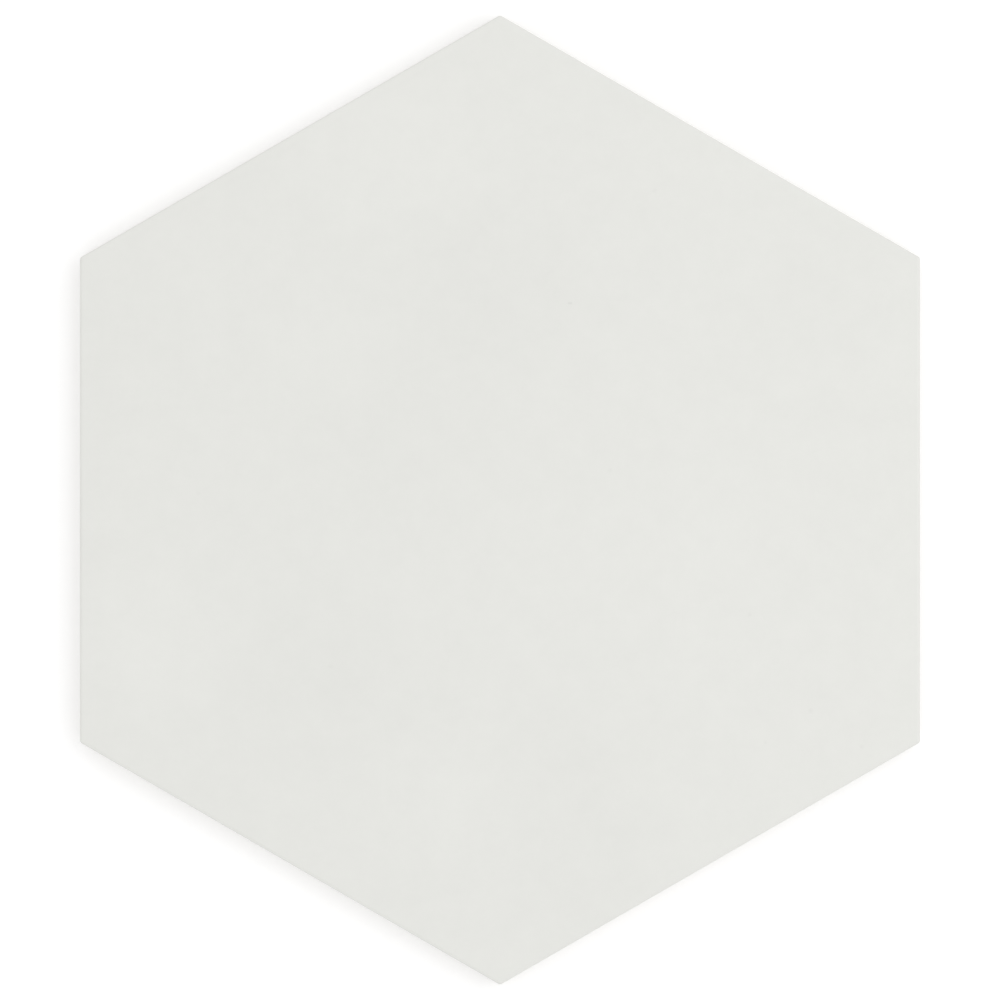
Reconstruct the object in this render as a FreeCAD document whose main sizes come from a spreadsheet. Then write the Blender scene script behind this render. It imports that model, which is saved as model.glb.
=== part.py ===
import FreeCAD
import Part
import Sketcher
import math
import os

# A hexagon floor tile of glazed porcelain, pressed and fired in one piece.
# It lies on its back: the worn face looks up, the origin is the middle of the back,
# two corners point along Y, and two of the six sides face along X.

# Driving sizes, in millimetres and degrees.
SIZES = {
    "across_flats": 220.0,  # width over two opposite sides
    "thickness": 9.0,
    "corner_radius": 1.0,  # upright corners of the outline
    "edge_radius": 0.8,  # pressed edge round the worn face
    "collar_depth": 3.6,  # upright part of the side, below the worn face
    "flank_draft": 4.0,  # how far the lower part of the side leans in
    "back_chamfer": 0.6,
    "cell_pitch": 18.0,  # from one key cell on the back to the next
    "rib_width": 3.0,  # land left between two key cells, at the back's surface
    "cell_depth": 1.0,
    "cell_draft": 30.0,  # how far the walls of a cell lean
    "rim_width": 6.0,  # least plain land between the key cells and the tile's edge
}
SIXTH = math.radians(60)
UP = FreeCAD.Vector(0, 0, 1)

document = FreeCAD.newDocument("HexagonTile")


def fill_sheet():
    sheet = document.addObject("Spreadsheet::Sheet", "Sizes")
    for row, (alias, value) in enumerate(SIZES.items(), start=1):
        sheet.set(f"A{row}", alias)
        sheet.set(f"B{row}", str(value))
        sheet.setAlias(f"B{row}", alias)
    document.recompute()


def direction(angle):
    return FreeCAD.Vector(math.cos(angle), math.sin(angle), 0)


def origin_feature(body, role):
    return next(f for f in body.Origin.OriginFeatures if f.Role == role)


def new_sketch(body, name, plane="XY_Plane"):
    # A sketch on the plane of the tile's back, or on an upright plane through its middle.
    sketch = body.newObject("Sketcher::SketchObject", name)
    sketch.AttachmentSupport = [(origin_feature(body, plane), "")]
    sketch.MapMode = "FlatFace"
    return sketch


def constrain(sketch, kind, *elements):
    return sketch.addConstraint(Sketcher.Constraint(kind, *elements))


def constrain_to(sketch, expression, kind, *elements):
    number = constrain(sketch, kind, *elements)
    sketch.setExpression(f"Constraints[{number}]", expression)


def outline_sketch(body):
    # The tile's outline: six sides round a construction circle, joined by small corner arcs.
    # The first side faces along X.
    sketch = new_sketch(body, "OutlineSketch")
    apothem = SIZES["across_flats"] / 2
    radius = SIZES["corner_radius"]
    half_side = (apothem - radius) * math.tan(SIXTH / 2)
    corner_reach = (apothem - radius) / math.cos(SIXTH / 2)
    sides = []
    corners = []
    for k in range(6):
        outward = direction(k * SIXTH)
        along = UP.cross(outward) * half_side
        middle = outward * apothem
        sides.append(sketch.addGeometry(Part.LineSegment(middle - along, middle + along)))
        rounding = Part.Circle(direction((k + 0.5) * SIXTH) * corner_reach, UP, radius)
        arc = Part.ArcOfCircle(rounding, k * SIXTH, (k + 1) * SIXTH)
        corners.append(sketch.addGeometry(arc))
    circle = sketch.addGeometry(Part.Circle(FreeCAD.Vector(), UP, apothem), True)

    constrain(sketch, "Coincident", circle, 3, -1, 1)
    constrain_to(sketch, "Sizes.across_flats", "Diameter", circle, 2 * apothem)
    constrain_to(sketch, "Sizes.corner_radius", "Radius", corners[0], radius)
    constrain(sketch, "Vertical", sides[0])
    for k in range(6):
        constrain(sketch, "Tangent", sides[k], 2, corners[k], 1)
        constrain(sketch, "Tangent", corners[k], 2, sides[(k + 1) % 6], 1)
        constrain(sketch, "Tangent", sides[k], circle)
    for k in range(1, 6):
        constrain(sketch, "Equal", corners[0], corners[k])
    for k in (1, 2):
        constrain(sketch, "Angle", sides[k - 1], sides[k], SIXTH)
    for k in (3, 4, 5):
        constrain(sketch, "Parallel", sides[k - 3], sides[k])
    return sketch


def make_blank(body):
    # The pressed blank, upright all round.
    blank = body.newObject("PartDesign::Pad", "Blank")
    blank.Profile = outline_sketch(body)
    blank.setExpression("Length", "Sizes.thickness")
    document.recompute()


def press_edge(body):
    # The round edge of the worn face.
    blank = body.Tip
    top = SIZES["thickness"] - 1e-4
    around = [f"Edge{n}" for n, e in enumerate(blank.Shape.Edges, start=1) if e.BoundBox.ZMin > top]
    pressed_edge = body.newObject("PartDesign::Fillet", "PressedEdge")
    pressed_edge.Base = (blank, around)
    pressed_edge.setExpression("Radius", "Sizes.edge_radius")
    document.recompute()


def wedge_sketch(body):
    # What the side that faces along X lacks of an upright one, seen from the front: the flank
    # leans in from the foot of the collar, and a chamfer takes its lower edge.
    sketch = new_sketch(body, "SideWedgeSketch", "XZ_Plane")
    face = SIZES["across_flats"] / 2
    parting = SIZES["thickness"] - SIZES["collar_depth"]
    chamfer = SIZES["back_chamfer"]
    lean = math.radians(SIZES["flank_draft"])
    inset = (parting - chamfer) * math.tan(lean)
    points = [
        FreeCAD.Vector(face, parting, 0),
        FreeCAD.Vector(face - inset, chamfer, 0),
        FreeCAD.Vector(face - inset - chamfer, 0, 0),
        FreeCAD.Vector(face + parting, 0, 0),
    ]
    flank, bevel, foot, slope = [
        sketch.addGeometry(Part.LineSegment(points[k], points[(k + 1) % 4])) for k in range(4)
    ]
    for line, following in ((flank, bevel), (bevel, foot), (foot, slope), (slope, flank)):
        constrain(sketch, "Coincident", line, 2, following, 1)
    constrain(sketch, "PointOnObject", foot, 1, -1)
    constrain(sketch, "PointOnObject", foot, 2, -1)
    constrain_to(sketch, "Sizes.across_flats / 2", "DistanceX", -1, 1, flank, 1, face)
    height = "Sizes.thickness - Sizes.collar_depth"
    constrain_to(sketch, height, "DistanceY", -1, 1, flank, 1, parting)
    constrain_to(sketch, "Sizes.back_chamfer", "DistanceY", -1, 1, bevel, 1, chamfer)
    constrain_to(sketch, "Sizes.back_chamfer", "DistanceX", bevel, 2, bevel, 1, chamfer)
    upright = math.radians(270)
    constrain_to(sketch, "270 - Sizes.flank_draft", "Angle", flank, upright - lean)
    constrain(sketch, "Angle", slope, math.radians(135))
    return sketch


def lean_sides(body):
    # One wedge is cut off along a side, and five turns of it do the other sides.
    wedge = body.newObject("PartDesign::Pocket", "SideWedge")
    wedge.Profile = wedge_sketch(body)
    wedge.SideType = "Symmetric"
    wedge.setExpression("Length", "Sizes.across_flats")
    all_sides = body.newObject("PartDesign::PolarPattern", "SideWedges")
    all_sides.Originals = [wedge]
    all_sides.Axis = (origin_feature(body, "Z_Axis"), [""])
    all_sides.Angle = 360
    all_sides.Occurrences = 6
    body.Tip = all_sides
    document.recompute()


def cell_sketch(body, name, steps):
    # One key cell: a regular hexagon with a corner along X, the given number of pitches from the
    # middle of the back, in the direction of the first side that two cells share.
    sketch = new_sketch(body, name)
    flats = SIZES["cell_pitch"] - SIZES["rib_width"]
    reach = flats / 2 / math.cos(SIXTH / 2)
    centre = direction(SIXTH / 2) * (steps * SIZES["cell_pitch"])
    corners = [centre + direction(k * SIXTH) * reach for k in range(6)]
    sides = []
    for k in range(6):
        sides.append(sketch.addGeometry(Part.LineSegment(corners[k], corners[(k + 1) % 6])))
    circle = sketch.addGeometry(Part.Circle(centre, UP, reach), True)
    for k in range(6):
        constrain(sketch, "Coincident", sides[k], 2, sides[(k + 1) % 6], 1)
        constrain(sketch, "PointOnObject", sides[k], 1, circle)
    for k in range(1, 6):
        constrain(sketch, "Equal", sides[0], sides[k])
    constrain(sketch, "Horizontal", sides[1])
    wide = "Sizes.cell_pitch - Sizes.rib_width"
    constrain_to(sketch, wide, "Distance", sides[1], 1, sides[4], flats)

    if steps:
        spoke = sketch.addGeometry(Part.LineSegment(FreeCAD.Vector(), centre), True)
        constrain(sketch, "Coincident", spoke, 1, -1, 1)
        constrain(sketch, "Coincident", spoke, 2, circle, 3)
        constrain(sketch, "Angle", spoke, SIXTH / 2)
        constrain_to(sketch, "Sizes.cell_pitch", "Distance", spoke, steps * SIZES["cell_pitch"])
    else:
        constrain(sketch, "Coincident", circle, 3, -1, 1)
    return sketch


def cut_cell(body, name, steps):
    # A key cell pressed up into the back, narrower at its floor.
    cell = body.newObject("PartDesign::Pocket", name)
    cell.Profile = cell_sketch(body, name + "Sketch", steps)
    cell.Reversed = True
    cell.setExpression("Length", "Sizes.cell_depth")
    cell.setExpression("TaperAngle", "-Sizes.cell_draft")
    document.recompute()
    return cell


def ring_count():
    # An expression for the rings of cells round the middle one that leave the rim plain.
    flank = "(Sizes.thickness - Sizes.collar_depth - Sizes.back_chamfer)"
    back = f"(Sizes.across_flats / 2 - {flank} * tan(Sizes.flank_draft) - Sizes.back_chamfer)"
    cell_reach = "((Sizes.cell_pitch - Sizes.rib_width) / 2 / cos(30))"
    ring_step = "(Sizes.cell_pitch * cos(30))"
    return f"floor(({back} - Sizes.rim_width - {cell_reach}) / {ring_step})"


def grid_directions(body):
    # The two directions of the cells' grid, one third of a turn apart.
    sketch = new_sketch(body, "GridDirections")
    for angle in (SIXTH / 2, SIXTH * 5 / 2):
        axis = sketch.addGeometry(Part.LineSegment(FreeCAD.Vector(), direction(angle)), True)
        constrain(sketch, "Coincident", axis, 1, -1, 1)
        constrain(sketch, "Angle", axis, angle)
        constrain(sketch, "Distance", axis, 1.0)
    return sketch


def repeat_cell(body, first_cell):
    # A third of each ring is a part of a skewed grid of cells, and turning it makes the rest.
    grid = grid_directions(body)
    rows = []
    for name, axis, count in (
        ("OutwardCells", "Axis0", ring_count()),
        ("SidewaysCells", "Axis1", ring_count() + " + 1"),
    ):
        row = document.addObject("PartDesign::LinearPattern", name)
        row.Direction = (grid, [axis])
        row.Mode = "Spacing"
        row.setExpression("Offset", "Sizes.cell_pitch")
        row.setExpression("Occurrences", count)
        rows.append(row)
    turns = document.addObject("PartDesign::PolarPattern", "ThirdTurns")
    turns.Axis = (origin_feature(body, "Z_Axis"), [""])
    turns.Angle = 360
    turns.Occurrences = 3

    key_cells = body.newObject("PartDesign::MultiTransform", "KeyCells")
    key_cells.Originals = [first_cell]
    key_cells.Refine = False  # the cells lie apart, so no faces need merging
    key_cells.Transformations = rows + [turns]
    body.Tip = key_cells
    document.recompute()


def make_tile():
    body = document.addObject("PartDesign::Body", "HexagonTile")
    body.Label = "hexagon_tile"
    make_blank(body)
    press_edge(body)
    lean_sides(body)
    cut_cell(body, "CentreCell", 0)
    first_cell = cut_cell(body, "FirstCell", 1)
    repeat_cell(body, first_cell)
    return body


def check(body):
    failed = [o.Name for o in document.Objects if {"Invalid", "Error"} & set(o.State)]
    if failed:
        raise RuntimeError(f"These objects failed: {failed}")
    if body.Shape.isNull() or not body.Shape.isValid():
        raise RuntimeError(f"{body.Label} has no valid shape")


fill_sheet()
tile = make_tile()
check(tile)
os.makedirs("parts", exist_ok=True)
tile.Shape.exportStep(f"parts/{tile.Label}.step")
print(f"{tile.Label}: {len(tile.Shape.Faces)} faces, {tile.Shape.Volume:.0f} mm3")
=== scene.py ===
from math import cos, floor, radians, sin, tan

import bmesh
import bpy
import numpy as np
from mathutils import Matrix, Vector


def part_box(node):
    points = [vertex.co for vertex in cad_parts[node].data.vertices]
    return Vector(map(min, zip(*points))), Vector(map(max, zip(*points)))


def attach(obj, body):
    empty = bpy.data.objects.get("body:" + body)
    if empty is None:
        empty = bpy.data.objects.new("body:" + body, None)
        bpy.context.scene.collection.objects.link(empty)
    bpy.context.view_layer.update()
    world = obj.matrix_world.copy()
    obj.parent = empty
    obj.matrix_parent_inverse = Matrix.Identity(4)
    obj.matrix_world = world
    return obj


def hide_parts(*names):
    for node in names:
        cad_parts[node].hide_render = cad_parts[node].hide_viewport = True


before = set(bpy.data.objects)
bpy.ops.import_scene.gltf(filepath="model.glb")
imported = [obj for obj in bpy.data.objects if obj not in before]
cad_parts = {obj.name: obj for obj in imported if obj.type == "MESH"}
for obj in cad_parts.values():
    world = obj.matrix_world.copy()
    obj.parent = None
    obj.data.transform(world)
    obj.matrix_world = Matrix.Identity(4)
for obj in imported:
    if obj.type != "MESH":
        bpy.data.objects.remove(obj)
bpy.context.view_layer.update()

mm = 0.001
tileLow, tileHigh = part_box("hexagon_tile")
sideTurns = np.radians(np.arange(0, 360, 60))  # where the six sides of the tile face
halfStep = radians(30)  # half the turn from one side of a hexagon to the next
print("frame loaded, tile", tuple(round(v / mm, 2) for v in tileHigh - tileLow), "mm")


# The pressed and glazed tile, seen from the face and round its side
tile = {
    "apothem": (tileHigh.x - tileLow.x) / 2,  # centre to the middle of a side
    "thickness": tileHigh.z - tileLow.z,
    "cornerRadius": 1.0 * mm,
    "edgeRadius": 0.8 * mm,
    "collarDepth": 3.6 * mm,  # the upright collar, from the face down
    "flankDraft": radians(4),
    "backChamfer": 0.6 * mm,
    "arrisSoftness": 0.15 * mm,  # how far the pressed arrises are rounded
    "waviness": 0.04 * mm,  # rise and fall of the fired face
    "waveLength": 95 * mm,
    "waves": [  # strength, turns over a wave length along x and along y, start in radians
        (0.5, 1.0, 0.8, 0.3),
        (0.5, 1.0, -0.8, 1.1),
        (0.6, 0.6, 0.78, 2.1),
    ],
    "waveFade": 8,  # higher keeps the waves closer to the pressed edge
    "faceRings": 22,
    "arcRows": 7,
    "cornerSteps": 4,  # over half a corner's arc
    "mergeDistance": 0.001 * mm,
}

# The key relief pressed into the back
keys = {
    "pitch": 18.0 * mm,
    "ribWidth": 3.0 * mm,
    "depth": 1.0 * mm,
    "wallDraft": radians(30),
    "shoulder": 0.25 * mm,  # soft run at the top and the foot of a wall
    "rimWidth": 6.0 * mm,
    "cornerSharpness": 34,  # higher is a tighter corner
    "wallRows": 6,
    "stepsPerEdge": 8,
    "stepCrowding": 0.8,  # 0 leaves the steps even, 1 draws them fully to the corners
}


# Points at a few angles are turned about the tile's centre, one copy for each of the six sides.
def turnedRound(points, turns):
    turned = points[None, :, 0] * np.cos(turns)[:, None] - points[None, :, 1] * np.sin(turns)[:, None]
    raised = points[None, :, 0] * np.sin(turns)[:, None] + points[None, :, 1] * np.cos(turns)[:, None]
    return np.stack([turned, raised], axis=-1).reshape(-1, 2)


# Rounded hexagon, from the middle of one corner to the middle of the next, six times over.
# Beside the middle of a side a point stands along * (a - r) * tan 30 + r * sin bend, and out of it
# a - r + r * cos bend: along runs from -1 to 1 on the straight, bend from -30 to 30 in the corners.
def hexagonOutline(apothem, radius, pointsPerSide, cornerSteps):
    straightSteps = pointsPerSide - 2 * cornerSteps
    along = np.clip((np.arange(pointsPerSide) - cornerSteps) / straightSteps, 0, 1) * 2 - 1
    beforeArc = np.clip(np.arange(pointsPerSide) / cornerSteps, 0, 1) - 1
    afterArc = np.clip((np.arange(pointsPerSide) - cornerSteps - straightSteps) / cornerSteps, 0, 1)
    bend = halfStep * (beforeArc + afterArc)
    out = apothem - radius + radius * np.cos(bend)
    beside = along * (apothem - radius) * tan(halfStep) + radius * np.sin(bend)
    return turnedRound(np.stack([out, beside], axis=-1), sideTurns)


# Each inner knot of a line of knots gives way to three: one a softness before it, one a softness
# after it, and one that stands halfway from the knot to the middle of these two.
def softenedKnots(knots, softness):
    before = knots[:-2] - knots[1:-1]
    after = knots[2:] - knots[1:-1]
    before = knots[1:-1] + softness * before / np.linalg.norm(before, axis=1, keepdims=True)
    after = knots[1:-1] + softness * after / np.linalg.norm(after, axis=1, keepdims=True)
    middle = knots[1:-1] * 0.5 + (before + after) * 0.25
    inner = np.stack([before, middle, after], axis=1).reshape(-1, 2)
    return np.concatenate([knots[:1], inner, knots[-1:]])


# Quads between neighbouring rows of a grid whose columns close on themselves. Going to the next
# row and then to the next column turns the faces outwards.
def ringFaces(rows, columns):
    first = np.arange((rows - 1) * columns).reshape(rows - 1, columns)
    following = np.roll(first, -1, axis=1)
    quads = [first, first + columns, following + columns, following]
    return np.stack(quads, axis=-1).reshape(-1, 4)


# The sharp Voronoi hexagon round one key cell: each edge runs from one corner to the next,
# with the steps drawn towards the corners: u - crowding * sin(2 pi u) / (2 pi).
def cellBorder():
    share = np.arange(keys["stepsPerEdge"]) / keys["stepsPerEdge"]
    eased = share - keys["stepCrowding"] * np.sin(2 * np.pi * share) / (2 * np.pi)
    reach = keys["pitch"] / 2 / cos(halfStep)
    corners = np.radians(np.arange(0, 361, 60))
    corners = reach * np.stack([np.cos(corners), np.sin(corners)], axis=-1)
    border = corners[:-1, None] + eased[None, :, None] * (corners[1:] - corners[:-1])[:, None]
    return border.reshape(-1, 2)


# A hexagon with soft corners: distance from the middle = apothem / (sum of c^p)^(1/p), where c is
# how far each of the six sides faces that way and p is the sharpness.
def softHexagon(angles, sharpness):
    facing = np.cos(angles[:, None] - (sideTurns + halfStep)[None, :])
    return 1 / (np.clip(facing, 0, None) ** sharpness).sum(axis=1) ** (1 / sharpness)


# How many rings of key cells stand round the middle one inside the plain rim
def countCellRings():
    drop = tile["thickness"] - tile["collarDepth"] - tile["backChamfer"]
    footApothem = tile["apothem"] - drop * tan(tile["flankDraft"]) - tile["backChamfer"]
    cellReach = (keys["pitch"] - keys["ribWidth"]) / 2 / cos(halfStep)
    return floor((footApothem - keys["rimWidth"] - cellReach) / (keys["pitch"] * cos(halfStep)))


# One key cell, from its border on the land down the wall to the middle of its floor. The wall falls
# as depth * (3 u^2 - 2 u^3), where u runs from 0 at the land to 1 at the floor.
def cellPatch():
    border = cellBorder()
    angles = np.arctan2(border[:, 1], border[:, 0])
    landEdge = (keys["pitch"] - keys["ribWidth"]) / 2 + keys["shoulder"]
    floorEdge = landEdge - 2 * keys["shoulder"] - keys["depth"] * tan(keys["wallDraft"])
    share = np.linspace(0, 1, keys["wallRows"])
    apothems = np.concatenate([landEdge + (floorEdge - landEdge) * share, [floorEdge / 2, 0]])
    rise = keys["depth"] * np.concatenate([share ** 2 * (3 - 2 * share), [1, 1]])
    reach = apothems[:, None] * softHexagon(angles, keys["cornerSharpness"])[None, :]
    inner = np.stack([reach * np.cos(angles), reach * np.sin(angles)], axis=-1)
    plan = np.concatenate([border[None], inner])
    height = np.concatenate([[0], rise])[:, None] * np.ones(len(border))
    return np.concatenate([plan, height[..., None]], axis=-1)


# The middle of every key cell: steps of one pitch towards 30 and 90 degrees, kept where neither
# count nor their sum is above the number of rings.
def cellCentres(rings):
    count = np.arange(-rings, rings + 1)
    outward, sideways = (grid.ravel() for grid in np.meshgrid(count, count))
    kept = np.abs(outward + sideways) <= rings
    x = outward[kept] * keys["pitch"] * cos(halfStep)
    y = (outward[kept] * 0.5 + sideways[kept]) * keys["pitch"]
    return np.stack([x, y, 0 * x], axis=-1)


# The zigzag edge of all cells together, from the middle of one corner cell's outer edge to the
# middle of the next corner cell's, six times over.
def reliefBorder(rings):
    steps = keys["stepsPerEdge"]
    outerEdges = np.roll(cellBorder(), steps, axis=0)[:2 * steps]
    middles = np.stack([
        np.full(rings + 1, rings * keys["pitch"] * cos(halfStep)),
        (np.arange(rings + 1) - rings / 2) * keys["pitch"],
    ], axis=-1)
    oneSide = (middles[:, None] + outerEdges[None]).reshape(-1, 2)[steps // 2:-(steps // 2)]
    return turnedRound(oneSide, sideTurns)


# Fired waviness: the sum of a few sine waves over their strengths, shifted to lie from -1 to 0
def facePlay(x, y):
    turn = 2 * np.pi / tile["waveLength"]
    rise = sum(
        strength * np.sin(turn * (alongX * x + alongY * y) + start)
        for strength, alongX, alongY, start in tile["waves"]
    )
    most = sum(wave[0] for wave in tile["waves"])
    return tile["waviness"] * (rise / most - 1) / 2


# The face, the pressed edge, the side and the plain rim of the back as one sheet. Its rows are
# hexagon outlines from the centre of the face outwards, down the side and in again underneath.
def shellSheet(rings):
    perSide = keys["stepsPerEdge"] * (2 * rings + 1)
    apothem, thickness = tile["apothem"], tile["thickness"]
    edge, corner = tile["edgeRadius"], tile["cornerRadius"]
    top = hexagonOutline(apothem - edge, corner - edge, perSide, tile["cornerSteps"])
    angles = np.linspace(0, 2 * np.pi, len(top), endpoint=False) - halfStep
    circle = (apothem - edge) * np.stack([np.cos(angles), np.sin(angles)], axis=-1)
    shares = np.sin(np.linspace(0, np.pi / 2, tile["faceRings"] + 1))[:-1, None, None]
    face = shares * (circle + (top - circle) * shares ** 2)  # rings grow from round to six-sided

    lean = (thickness - tile["collarDepth"] - tile["backChamfer"]) * tan(tile["flankDraft"])
    turn = np.linspace(0, np.pi / 2, tile["arcRows"] + 1)
    arc = np.stack([edge * (1 - np.sin(turn)), thickness - edge * (1 - np.cos(turn))], axis=-1)
    knots = np.array([
        [0, thickness - edge],
        [0, thickness - tile["collarDepth"]],
        [lean, tile["backChamfer"]],
        [lean + tile["backChamfer"], 0],
        [lean + 2 * tile["backChamfer"], 0],
    ])
    profile = np.concatenate([arc, softenedKnots(knots, tile["arrisSoftness"])[1:]])
    radii = np.where(profile[:, 1] > thickness - tile["collarDepth"], corner - profile[:, 0], corner)
    side = np.stack([
        hexagonOutline(apothem - inset, radius, perSide, tile["cornerSteps"])
        for inset, radius in zip(profile[:, 0], radii)
    ])
    plan = np.concatenate([face, side, reliefBorder(rings)[None]])
    height = np.concatenate([np.full(len(face), thickness), profile[:, 1], [0]])
    height = height[:, None] * np.ones(plan.shape[1])
    fade = 1 - shares[..., 0] ** tile["waveFade"]  # the waves die out at the pressed edge
    height[:len(face)] += fade * facePlay(face[..., 0], face[..., 1])
    return np.concatenate([plan, height[..., None]], axis=-1)


# Sheets of points are put into one mesh, and the points that they share are merged.
def closedMesh(name, sheets):
    points = []
    faces = []
    start = 0
    for grid, copies in sheets:
        rows, columns = grid.shape[:2]
        placed = (grid.reshape(1, -1, 3) + copies[:, None]).reshape(-1, 3)
        offsets = start + np.arange(len(copies)) * rows * columns
        faces.append((ringFaces(rows, columns)[None] + offsets[:, None, None]).reshape(-1, 4))
        points.append(placed)
        start += len(placed)
    mesh = bpy.data.meshes.new(name)
    mesh.from_pydata(np.concatenate(points).tolist(), [], np.concatenate(faces).tolist())
    shape = bmesh.new()
    shape.from_mesh(mesh)
    bmesh.ops.remove_doubles(shape, verts=shape.verts, dist=tile["mergeDistance"])
    loose = sum(not edge.is_manifold for edge in shape.edges)
    shape.to_mesh(mesh)
    shape.free()
    mesh.shade_smooth()
    print(name, len(mesh.vertices), "points,", len(mesh.polygons), "faces,", loose, "open edges")
    return mesh


# The tile's own map, a flat sheet on which its surface is laid out for baking
tileMap = {
    "name": "OFBake",
    "sheetWidth": 358 * mm,
    "gap": 3 * mm,  # kept free round each part
    "backScale": 0.73,
    "sideStretch": 2.0,  # the sides lie on it taller than they are
    "edgeShare": 0.25,  # of the pressed edge's height, laid out with the face
}


# One property of all of a mesh's points, corners or faces, as an array
def numbersOf(items, name, width, kind=np.float32):
    values = np.empty(len(items) * width, kind)
    items.foreach_get(name, values)
    return values.reshape(-1, width)


# The face lies in the lower left of the sheet as seen from above, the back in the upper right as
# seen from below, scaled down, and the six sides in the lower right as seen from outside, one
# above the other. The pressed edge is parted between the face and the sides.
def layOutMap(mesh):
    low, high = tileMap["gap"], tileMap["sheetWidth"] - tileMap["gap"]
    half = np.array([tileHigh.x - tileLow.x, tileHigh.y - tileLow.y]) / 2
    point = numbersOf(mesh.vertices, "co", 3)[numbersOf(mesh.loops, "vertex_index", 1, np.int32)[:, 0]]
    corners = numbersOf(mesh.polygons, "loop_total", 1, np.int32)[:, 0]
    middle = np.repeat(numbersOf(mesh.polygons, "center", 3), corners, axis=0)
    outward = middle[:, :2] @ np.stack([np.cos(sideTurns), np.sin(sideTurns)])
    side = outward.argmax(axis=1)

    face = low + half + point[:, :2]
    back = high - tileMap["backScale"] * (half + point[:, :2] * (1, -1))
    along = point[:, 1] * np.cos(sideTurns[side]) - point[:, 0] * np.sin(sideTurns[side])
    stretch = tileMap["sideStretch"]
    step = stretch * (tile["thickness"] - tile["backChamfer"]) + tileMap["gap"]
    upright = low + side * step + stretch * (point[:, 2] - tile["backChamfer"])
    sides = np.stack([high - half[1] / 2 + along, upright], axis=-1)

    # what lies further in than the rim belongs to the back, and so do the floors of the cells
    isFace = middle[:, 2] > tile["thickness"] - tile["edgeRadius"] * tileMap["edgeShare"]
    isBack = (middle[:, 2] < tile["backChamfer"]) | (outward.max(axis=1) < half[0] - keys["rimWidth"])
    place = np.where(isFace[:, None], face, np.where(isBack[:, None], back, sides))
    layer = mesh.uv_layers.new(name=tileMap["name"])
    layer.data.foreach_set("uv", (place / tileMap["sheetWidth"]).astype(np.float32).ravel())
    print("map laid out")


def makeTile():
    rings = countCellRings()
    sheets = [
        (shellSheet(rings), np.zeros((1, 3))),
        (cellPatch(), cellCentres(rings)),
    ]
    mesh = closedMesh("dressed_tile", sheets)
    layOutMap(mesh)
    piece = bpy.data.objects.new("dressed_tile", mesh)
    bpy.context.scene.collection.objects.link(piece)
    return piece


# A node with its settings and inputs: a socket given as an input is linked, a value is set.
def addNode(tree, kind, inputs=None, **settings):
    node = tree.nodes.new(kind)
    for name, value in settings.items():
        setattr(node, name, value)
    for name, value in (inputs or {}).items():
        if isinstance(value, bpy.types.NodeSocket):
            tree.links.new(value, node.inputs[name])
        else:
            node.inputs[name].default_value = value
    return node


# One Math node, whose values are sockets or numbers
def calculate(tree, operation, *values):
    inputs = dict(enumerate(values))
    return addNode(tree, "ShaderNodeMath", inputs, operation=operation).outputs[0]


# A value that goes smoothly from one end to the other while the input goes from low to high
def slide(tree, value, low, high, atLow=0.0, atHigh=1.0):
    node = addNode(tree, "ShaderNodeMapRange", {
        "Value": value, "From Min": low, "From Max": high, "To Min": atLow, "To Max": atHigh,
    }, interpolation_type="SMOOTHSTEP")
    return node.outputs["Result"]


# The first colour where the share is 0 and the second where it is 1, each a socket or three numbers
def mixColours(tree, share, first, second):
    node = addNode(tree, "ShaderNodeMix", data_type="RGBA")
    tree.links.new(share, node.inputs["Factor"])
    for slot, colour in ((6, first), (7, second)):
        if isinstance(colour, bpy.types.NodeSocket):
            tree.links.new(colour, node.inputs[slot])
        else:
            node.inputs[slot].default_value = (*colour, 1)
    return node.outputs[2]


# Noise mostly from -1 to 1, because Fac keeps mostly to 0.25 to 0.75. Its broadest patches are about
# as large as size, in metres.
def unevenness(tree, place, size, detail=2.0, roughness=0.5):
    node = addNode(tree, "ShaderNodeTexNoise", {
        "Vector": place, "Scale": 1 / size, "Detail": detail, "Roughness": roughness,
    })
    return calculate(tree, "MULTIPLY_ADD", node.outputs["Fac"], 4.0, -2.0)


# Coordinates scaled along x, y and z, which flattens a pattern or draws it out
def scaled(tree, place, scale):
    return addNode(tree, "ShaderNodeMapping", {"Vector": place, "Scale": scale}).outputs[0]


# The photograph looks straight down on the tile
photograph = {
    "width": 1000,  # pixels
    "tileWidth": 840,  # pixels over the two upright sides
    "lens": 200.0,
    "sensor": 36.0,
    "viewEnd": 20.0,  # metres, past the floor's far corners
}
pixel = (tileHigh.x - tileLow.x) / photograph["tileWidth"]  # metres, on the face


# Where a pixel of the photograph lies on the face
def onFace(x, y):
    middle = photograph["width"] / 2
    return (x - middle) * pixel, (middle - y) * pixel, 0


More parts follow.
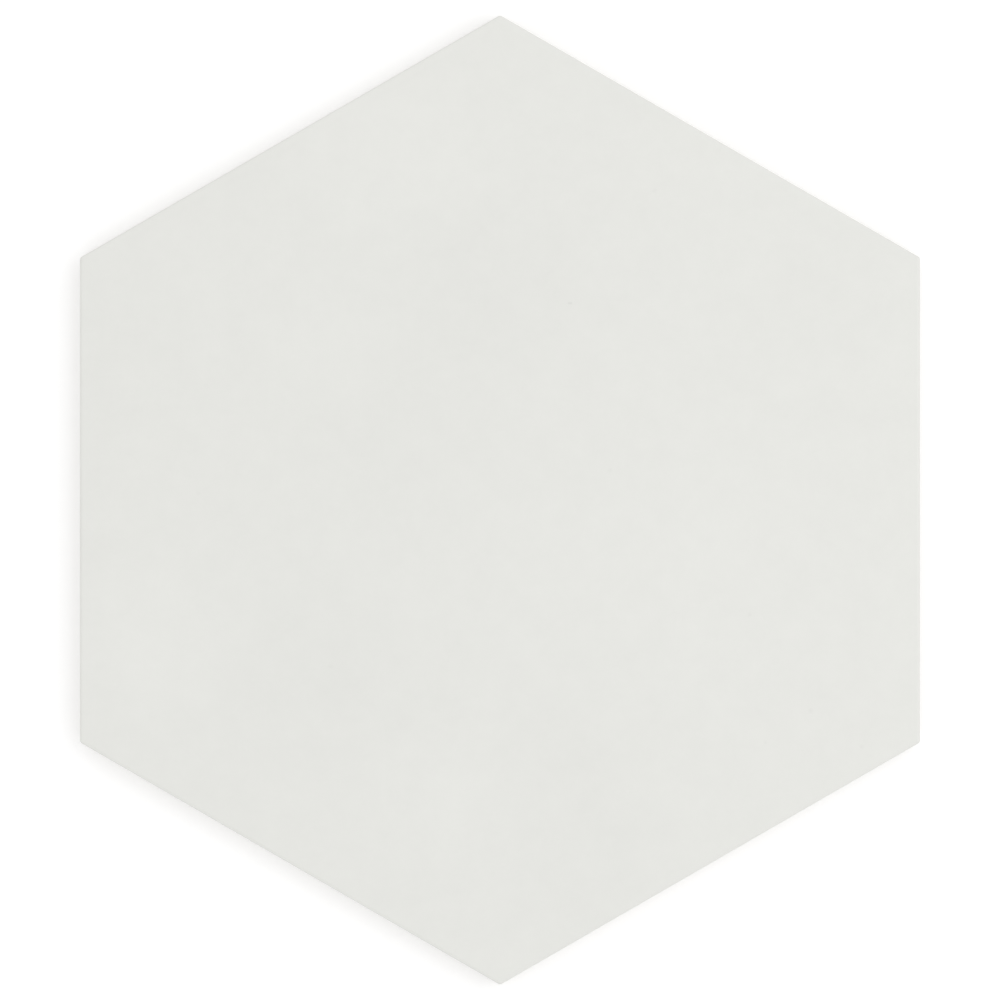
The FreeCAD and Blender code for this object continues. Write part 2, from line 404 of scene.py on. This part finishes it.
# The off-white matte glaze
glaze = {
    "colour": (0.7885, 0.7915, 0.7565),
    "levelStep": 0.0098,  # how much of the colour one level of 255 is
    "range": 10,  # levels that the colour may fall or rise
    "cloudSize": 40 * mm,
    "cloudLevels": 0.45,
    "fineCloudSize": 9 * mm,
    "fineCloudLevels": 1.6,
    "fineCloudDetail": 4,
    "fineCloudRoughness": 0.75,  # higher gives its smallest patches more strength
    "cloudBend": 14 * mm,  # how far the placed clouds are pulled out of round
    "clouds": [  # picture x and y, reach in pixels, levels
        (325, 345, 85, 1.1),
        (140, 640, 110, 2.2),
        (435, 795, 95, 1.5),
        (400, 150, 140, 1.5),
        (490, 290, 160, -1.6),
        (390, 440, 130, -1.2),
        (330, 690, 150, -1.3),
        (560, 760, 110, -0.9),
        (600, 860, 120, -1.3),
        (830, 290, 120, -1.3),
        (690, 560, 190, 0.7),
    ],
    "marks": [  # picture x and y, reach in pixels, levels
        (569.0, 303.3, 2.0, -8.5),
        (571.0, 303.3, 2.0, -8.5),
        (749.5, 614.5, 3.2, -3.4),
        (861.5, 746.5, 3.2, -3.4),
        (810.5, 710.5, 3.8, -3.6),
        (765.2, 742.5, 3.0, -2.8),
        (654.5, 190.5, 3.8, -2.8),
        (610.0, 470.5, 3.8, -2.8),
        (198.5, 493.5, 3.4, -2.6),
        (330.5, 666.5, 3.8, -2.6),
    ],
    "roughness": 0.52,
    "peelSize": 2.2 * mm,
    "peelHeight": 0.002 * mm,
    "proud": 0.05 * mm,  # how far the glaze stands off the body at its lower end
    "line": 6.8 * mm,  # how low the glaze runs down the side
    "linePlay": 0.55 * mm,
    "lineWave": 22 * mm,  # broadest waves of the line
    "lineDetail": 5,
    "lineRoughness": 0.6,
    "lineSoftness": 0.15 * mm,
    "thinEnd": 0.9 * mm,  # above the line the glaze is thin and the body shows through
    "thinCover": 0.78,  # how much it covers right at the line
}

# The bare fired body, which shows below the glaze
biscuit = {
    "light": (0.655, 0.628, 0.578),
    "dark": (0.545, 0.518, 0.468),
    "roughness": 0.88,
    "grainSize": 0.45 * mm,
    "grainRoughness": 0.6,
    "grainShare": 0.16,  # how far the grain moves the colour between dark and light
    "grainHeight": 0.012 * mm,
    "patchSize": 26 * mm,
    "patchShare": 0.10,
    "dragSize": 1.1 * mm,  # upright marks that the die leaves on the side
    "dragShare": 0.10,
    "dragStretch": 0.06,  # the smaller, the longer the marks are
    "dragHeight": 0.010 * mm,
    "seamHeight": 0.05 * mm,  # faint ridge at the foot of the collar
    "seamWidth": 0.25 * mm,
    "kilnWash": (0.790, 0.780, 0.750),
    "washShare": 0.75,
    "washFrom": -0.5,  # the unevenness of the patches at which the wash begins
    "washTo": 0.8,  # and at which it is full
    "washTop": 0.25 * mm,  # how far into the cells it reaches
    "washFull": 0.05 * mm,
}


# Clouds and marks are changes of level round a point that die out at their reach.
def levelChanges(tree, place, spots):
    total = None
    for x, y, reach, levels in spots:
        away = addNode(tree, "ShaderNodeVectorMath", {0: place, 1: onFace(x, y)}, operation="DISTANCE")
        change = slide(tree, away.outputs["Value"], 0, reach * pixel, levels, 0)
        total = change if total is None else calculate(tree, "ADD", total, change)
    return total


# The off-white glaze: its colour times 1 + step * levels, where levels adds up two sizes of soft
# unevenness, the placed clouds, which are bent out of round first, and the small fired marks.
def glazeColour(tree, flat):
    levels = calculate(tree, "MULTIPLY", unevenness(tree, flat, glaze["cloudSize"], 3), glaze["cloudLevels"])
    fine = unevenness(
        tree, flat, glaze["fineCloudSize"], glaze["fineCloudDetail"], glaze["fineCloudRoughness"],
    )
    levels = calculate(tree, "MULTIPLY_ADD", fine, glaze["fineCloudLevels"], levels)
    bend = addNode(tree, "ShaderNodeTexNoise", {
        "Vector": flat, "Scale": 0.5 / glaze["cloudBend"], "Detail": 3.0,
    }).outputs["Color"]
    bent = addNode(tree, "ShaderNodeVectorMath", {0: bend, 1: (-0.5, -0.5, -0.5)}, operation="ADD")
    bent = addNode(tree, "ShaderNodeVectorMath", {
        0: bent.outputs[0], 1: (2 * glaze["cloudBend"],) * 2 + (0,), 2: flat,
    }, operation="MULTIPLY_ADD").outputs[0]
    levels = calculate(tree, "ADD", levels, levelChanges(tree, bent, glaze["clouds"]))
    levels = calculate(tree, "ADD", levels, levelChanges(tree, flat, glaze["marks"]))
    share = calculate(tree, "MULTIPLY_ADD", levels, 0.5 / glaze["range"], 0.5)
    swing = glaze["levelStep"] * glaze["range"]
    dark = [part * (1 - swing) for part in glaze["colour"]]
    light = [part * (1 + swing) for part in glaze["colour"]]
    return mixColours(tree, share, dark, light)


# The bare body: fine grain over broader patches and the die's upright marks, with a white wash
# that the kiln rollers leave in patches on the rim and the ribs
def biscuitColour(tree, grain, drag, patches, height):
    share = calculate(tree, "MULTIPLY_ADD", grain, biscuit["grainShare"], 0.5)
    share = calculate(tree, "MULTIPLY_ADD", patches, biscuit["patchShare"], share)
    share = calculate(tree, "MULTIPLY_ADD", drag, biscuit["dragShare"], share)
    body = mixColours(tree, share, biscuit["dark"], biscuit["light"])
    onLand = slide(tree, height, biscuit["washTop"], biscuit["washFull"])
    wash = slide(tree, patches, biscuit["washFrom"], biscuit["washTo"], 0, biscuit["washShare"])
    wash = calculate(tree, "MULTIPLY", onLand, wash)
    return mixColours(tree, wash, body, biscuit["kilnWash"])


# One fired surface: matte glaze on the face, over the pressed edge and a little down the side,
# and bare biscuit below an uneven line and underneath.
def glazedPorcelain():
    material = bpy.data.materials.new("glazed porcelain")
    material.use_nodes = True
    tree = material.node_tree
    shader = tree.nodes["Principled BSDF"]
    place = addNode(tree, "ShaderNodeTexCoord").outputs["Object"]
    height = addNode(tree, "ShaderNodeSeparateXYZ", {0: place}).outputs["Z"]
    flat = scaled(tree, place, (1, 1, 0))

    lineNoise = unevenness(tree, flat, glaze["lineWave"], glaze["lineDetail"], glaze["lineRoughness"])
    aboveLine = calculate(tree, "MULTIPLY_ADD", lineNoise, glaze["linePlay"], height)
    aboveLine = calculate(tree, "SUBTRACT", aboveLine, glaze["line"])
    glazed = slide(tree, aboveLine, -glaze["lineSoftness"], glaze["lineSoftness"])
    cover = slide(tree, aboveLine, 0, glaze["thinEnd"], glaze["thinCover"], 1)

    grain = unevenness(tree, place, biscuit["grainSize"], 3, biscuit["grainRoughness"])
    patches = unevenness(tree, place, biscuit["patchSize"], 3)
    drag = unevenness(tree, scaled(tree, place, (1, 1, biscuit["dragStretch"])), biscuit["dragSize"], 2)
    body = biscuitColour(tree, grain, drag, patches, height)
    colour = mixColours(tree, calculate(tree, "MULTIPLY", glazed, cover), body, glazeColour(tree, flat))
    tree.links.new(colour, shader.inputs["Base Color"])
    roughness = slide(tree, glazed, 0, 1, biscuit["roughness"], glaze["roughness"])
    tree.links.new(roughness, shader.inputs["Roughness"])

    peel = unevenness(tree, place, glaze["peelSize"], 2)
    glazeRelief = calculate(tree, "MULTIPLY_ADD", peel, glaze["peelHeight"], glaze["proud"])
    bodyRelief = calculate(tree, "MULTIPLY", grain, biscuit["grainHeight"])
    bodyRelief = calculate(tree, "MULTIPLY_ADD", drag, biscuit["dragHeight"], bodyRelief)
    fromSeam = calculate(tree, "SUBTRACT", height, tile["thickness"] - tile["collarDepth"])
    fromSeam = calculate(tree, "ABSOLUTE", fromSeam)
    seam = slide(tree, fromSeam, 0, biscuit["seamWidth"], biscuit["seamHeight"], 0)
    bodyRelief = calculate(tree, "ADD", bodyRelief, seam)
    relief = addNode(tree, "ShaderNodeMix", {0: glazed, 2: bodyRelief, 3: glazeRelief}).outputs[0]
    bump = addNode(tree, "ShaderNodeBump", {"Height": relief, "Distance": 1.0, "Strength": 1.0})
    tree.links.new(bump.outputs[0], shader.inputs["Normal"])
    return material


tilePiece = makeTile()
tilePiece.data.materials.append(glazedPorcelain())
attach(tilePiece, "root")
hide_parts("hexagon_tile")
print("tile made")


# Floor, light and sky. The camera sees the unshaded floor and the sky as white, by Light Path.
studio = {
    "floorWidth": 12.0,
    "floorDrop": 0.01 * mm,
    "floorColour": (0.80, 0.80, 0.80, 1),
    "floorLift": 0.32,  # added for the camera alone, so that the lit floor shows white
    "skyOverhead": 0.76,
    "skyLow": 1.11,  # a little brighter towards the horizon, as in a light tent
    "lampStrength": 2.9,  # watts
    "lampSize": 1.0,
    "lampDistance": 1.3,  # metres from the middle of the tile
    "lampAzimuth": radians(10),  # from +X towards +Y
    "lampElevation": radians(60),
}


# 1 where the camera, a reflection or a view through the surface looks, 0 for the light itself
def seenDirectly(tree):
    rays = addNode(tree, "ShaderNodeLightPath")
    seen = calculate(tree, "MAXIMUM", rays.outputs["Is Camera Ray"], rays.outputs["Is Glossy Ray"])
    return calculate(tree, "MAXIMUM", seen, rays.outputs["Is Transmission Ray"])


def makeFloor():
    half = studio["floorWidth"] / 2
    level = -studio["floorDrop"]
    corners = [(-half, -half, level), (half, -half, level), (half, half, level), (-half, half, level)]
    mesh = bpy.data.meshes.new("studio_floor")
    mesh.from_pydata(corners, [], [(0, 1, 2, 3)])
    board = bpy.data.objects.new("studio_floor", mesh)
    bpy.context.scene.collection.objects.link(board)
    material = bpy.data.materials.new("studio floor")
    material.use_nodes = True
    tree = material.node_tree
    tree.nodes.remove(tree.nodes["Principled BSDF"])
    matte = addNode(tree, "ShaderNodeBsdfDiffuse", {"Color": studio["floorColour"]})
    lift = calculate(tree, "MULTIPLY", seenDirectly(tree), studio["floorLift"])
    glow = addNode(tree, "ShaderNodeEmission", {"Strength": lift})
    both = addNode(tree, "ShaderNodeAddShader", {0: matte.outputs[0], 1: glow.outputs[0]})
    tree.links.new(both.outputs[0], tree.nodes["Material Output"].inputs["Surface"])
    mesh.materials.append(material)


# The sky lights the tile with a strength that falls from the horizon to overhead.
def makeSky():
    world = bpy.data.worlds.new("studio sky")
    world.use_nodes = True
    bpy.context.scene.world = world
    tree = world.node_tree
    shine = tree.nodes["Background"]
    shine.inputs["Color"].default_value = (1, 1, 1, 1)
    direction = addNode(tree, "ShaderNodeTexCoord").outputs["Generated"]
    up = addNode(tree, "ShaderNodeSeparateXYZ", {0: direction}).outputs["Z"]
    lighting = slide(tree, up, 0, 1, studio["skyLow"], studio["skyOverhead"])
    strength = addNode(tree, "ShaderNodeMix", {0: seenDirectly(tree), 2: lighting, 3: 1.0}).outputs[0]
    tree.links.new(strength, shine.inputs["Strength"])


def makeLamp():
    light = bpy.data.lights.new("soft box", "AREA")
    light.size = studio["lampSize"]
    light.energy = studio["lampStrength"]
    lamp = bpy.data.objects.new("soft box", light)
    bpy.context.scene.collection.objects.link(lamp)
    out = studio["lampDistance"] * cos(studio["lampElevation"])
    lamp.location = (
        out * cos(studio["lampAzimuth"]),
        out * sin(studio["lampAzimuth"]),
        studio["lampDistance"] * sin(studio["lampElevation"]),
    )
    lamp.rotation_euler = lamp.location.to_track_quat("Z", "Y").to_euler()  # shines at the origin


makeFloor()
makeSky()
makeLamp()
print("studio made")


def makeCamera():
    data = bpy.data.cameras.new("camera")
    data.lens = photograph["lens"]
    data.sensor_width = photograph["sensor"]
    data.clip_end = photograph["viewEnd"]
    camera = bpy.data.objects.new("camera", data)
    bpy.context.scene.collection.objects.link(camera)
    widest = tile["thickness"] - tile["edgeRadius"]  # the height where the outline is widest
    away = pixel * photograph["width"] * photograph["lens"] / photograph["sensor"]
    camera.location = (0, 0, widest + away)
    bpy.context.scene.camera = camera


makeCamera()
bpy.context.scene.view_settings.view_transform = "Standard"
print("camera made")
